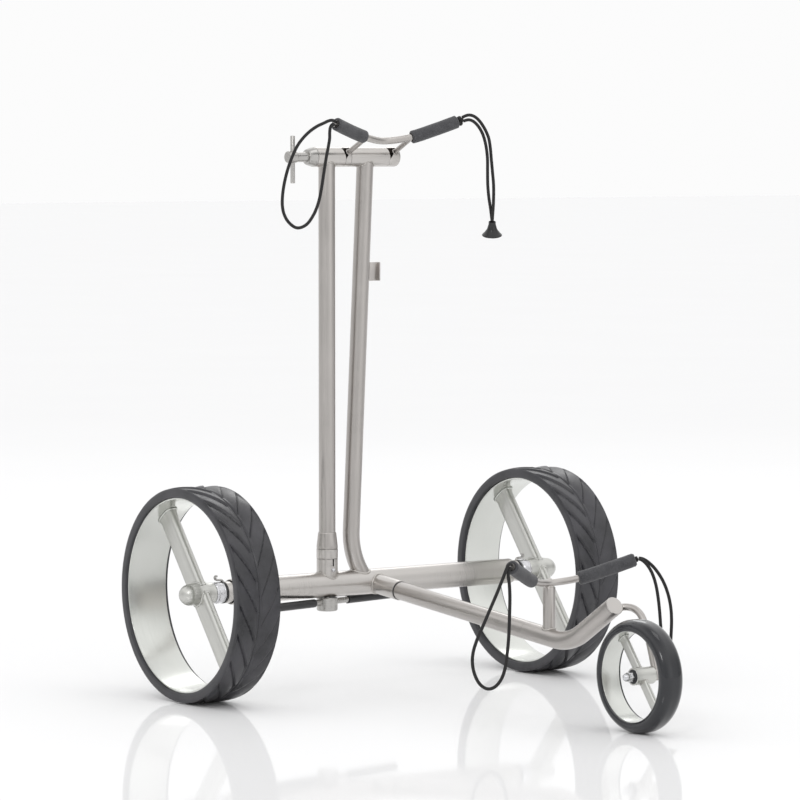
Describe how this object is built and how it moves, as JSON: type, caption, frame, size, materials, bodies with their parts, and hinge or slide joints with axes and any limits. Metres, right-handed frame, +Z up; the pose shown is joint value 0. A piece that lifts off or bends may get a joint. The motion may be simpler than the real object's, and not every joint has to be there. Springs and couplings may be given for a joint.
{
  "type": "golf bag push cart",
  "caption": "Tubular metal golf push-cart frame with large rear wheels, a small front wheel, a tilting bag cradle, foam grips and elastic cords.",
  "frame": {"origin": "middle of the footprint's bounding box, on the ground", "axes": "+Z up; -Y forwards, towards the front wheel; the top clamp's knob is on the -X side"},
  "size_m": [0.6614, 0.8216, 0.8147],
  "materials": {
    "satin_metal": "satin, fine brushed",
    "wheel_metal": "satin, turned",
    "polished_metal": "polished",
    "steel": "turned steel",
    "tread_rubber": "matte, moulded tread",
    "front_rubber": "smooth, slightly glossy",
    "foam": "matte closed-cell foam",
    "cord_fabric": "braided elastic",
    "black_plastic": "matte black"
  },
  "bodies": {
    "frame": {"axle_tube": "satin_metal", "axle_shaft_left": "steel", "axle_shaft_right": "steel", "upright_socket": "satin_metal", "socket_ring": "satin_metal", "upright_ferrule": "satin_metal", "left_upright": "satin_metal", "right_upright": "satin_metal", "cross_tube_left": "satin_metal", "cross_tube_middle": "satin_metal", "accessory_plate": "satin_metal", "tee_stub": "satin_metal"},
    "left_coupling": {"wheel_coupling_left": "polished_metal"},
    "right_coupling": {"wheel_coupling_right": "polished_metal"},
    "left_release": {"release_ring_left": "black_plastic"},
    "right_release": {"release_ring_right": "black_plastic"},
    "left_wheel": {"hub_spoke_left": "satin_metal", "rim_left": "wheel_metal", "tyre_left": "tread_rubber", "wheel_bearing_left": "steel"},
    "right_wheel": {"hub_spoke_right": "satin_metal", "rim_right": "wheel_metal", "tyre_right": "tread_rubber", "wheel_bearing_right": "steel"},
    "strut": {"strut_tube": "satin_metal", "strut_seal_ring": "black_plastic"},
    "arm": {"arm_tube": "satin_metal", "arm_end_cap": "satin_metal", "lower_post": "satin_metal", "lower_cradle_rod": "satin_metal", "lower_grip_left": "foam", "lower_grip_right": "foam", "fork": "satin_metal", "front_axle_bolt": "steel", "front_axle_nut": "steel", "cord_lower_left": "cord_fabric", "cord_lower_right_a": "cord_fabric", "cord_lower_right_b": "cord_fabric", "knot_lower": "cord_fabric", "toggle_lower": "black_plastic"},
    "front_wheel": {"front_hub_spoke": "satin_metal", "front_rim": "wheel_metal", "front_tyre": "front_rubber", "front_bearing": "black_plastic"},
    "upper_cradle": {"bracket_arm_left": "satin_metal", "bracket_arm_right": "satin_metal", "upper_cradle_rod": "satin_metal", "upper_grip_left": "foam", "upper_grip_right": "foam", "cord_upper_left": "cord_fabric", "cord_upper_right_a": "cord_fabric", "cord_upper_right_b": "cord_fabric", "knot_upper": "cord_fabric", "toggle_upper": "black_plastic"},
    "upper_clamp": {"clamp_screw": "steel", "tommy_bar": "steel"},
    "lower_clamp": {"socket_clamp": "steel", "clamp_sleeve_left": "black_plastic", "clamp_sleeve_right": "black_plastic"},
    "button": {"release_button": "polished_metal"}
  },
  "joints": [
    {"name": "left_wheel_pull", "type": "slide", "parent": "frame", "child": "left_coupling", "axis": [-1, 0, 0], "range_m": [0, 0.05]},
    {"name": "right_wheel_pull", "type": "slide", "parent": "frame", "child": "right_coupling", "axis": [1, 0, 0], "range_m": [0, 0.05]},
    {"name": "left_release_turn", "type": "hinge", "parent": "left_coupling", "child": "left_release", "pos_m": [-0.258, 0.2608, 0.15], "axis": [1, 0, 0], "range_deg": [0, 35]},
    {"name": "right_release_turn", "type": "hinge", "parent": "right_coupling", "child": "right_release", "pos_m": [0.258, 0.2608, 0.15], "axis": [1, 0, 0], "range_deg": [0, 35]},
    {"name": "left_wheel_spin", "type": "hinge", "parent": "left_coupling", "child": "left_wheel", "pos_m": [-0.2957, 0.2608, 0.15], "axis": [1, 0, 0], "continuous": true},
    {"name": "right_wheel_spin", "type": "hinge", "parent": "right_coupling", "child": "right_wheel", "pos_m": [0.2957, 0.2608, 0.15], "axis": [1, 0, 0], "continuous": true},
    {"name": "strut_pull", "type": "slide", "parent": "frame", "child": "strut", "axis": [0, -0.9952, -0.098], "range_m": [0, 0.036]},
    {"name": "arm_swivel", "type": "hinge", "parent": "strut", "child": "arm", "pos_m": [0, -0.09767, 0.11299], "axis": [0, -0.9952, -0.098], "range_deg": [-15, 15]},
    {"name": "front_wheel_spin", "type": "hinge", "parent": "arm", "child": "front_wheel", "pos_m": [0, -0.3358, 0.075], "axis": [1, 0, 0], "continuous": true},
    {"name": "upper_cradle_tilt", "type": "hinge", "parent": "frame", "child": "upper_cradle", "pos_m": [-0.0065, 0.2608, 0.7535], "axis": [1, 0, 0], "range_deg": [-55, 85]},
    {"name": "upper_clamp_turn", "type": "hinge", "parent": "frame", "child": "upper_clamp", "pos_m": [-0.13, 0.2608, 0.7535], "axis": [-1, 0, 0], "range_deg": [0, 450]},
    {"name": "lower_clamp_turn", "type": "hinge", "parent": "frame", "child": "lower_clamp", "pos_m": [-0.08, 0.2608, 0.1255], "axis": [0, 0, 1], "range_deg": [0, 90]},
    {"name": "button_press", "type": "slide", "parent": "frame", "child": "button", "axis": [0, 1, 0], "range_m": [0, 0.003], "stiffness_N_per_m": 600}
  ]
}
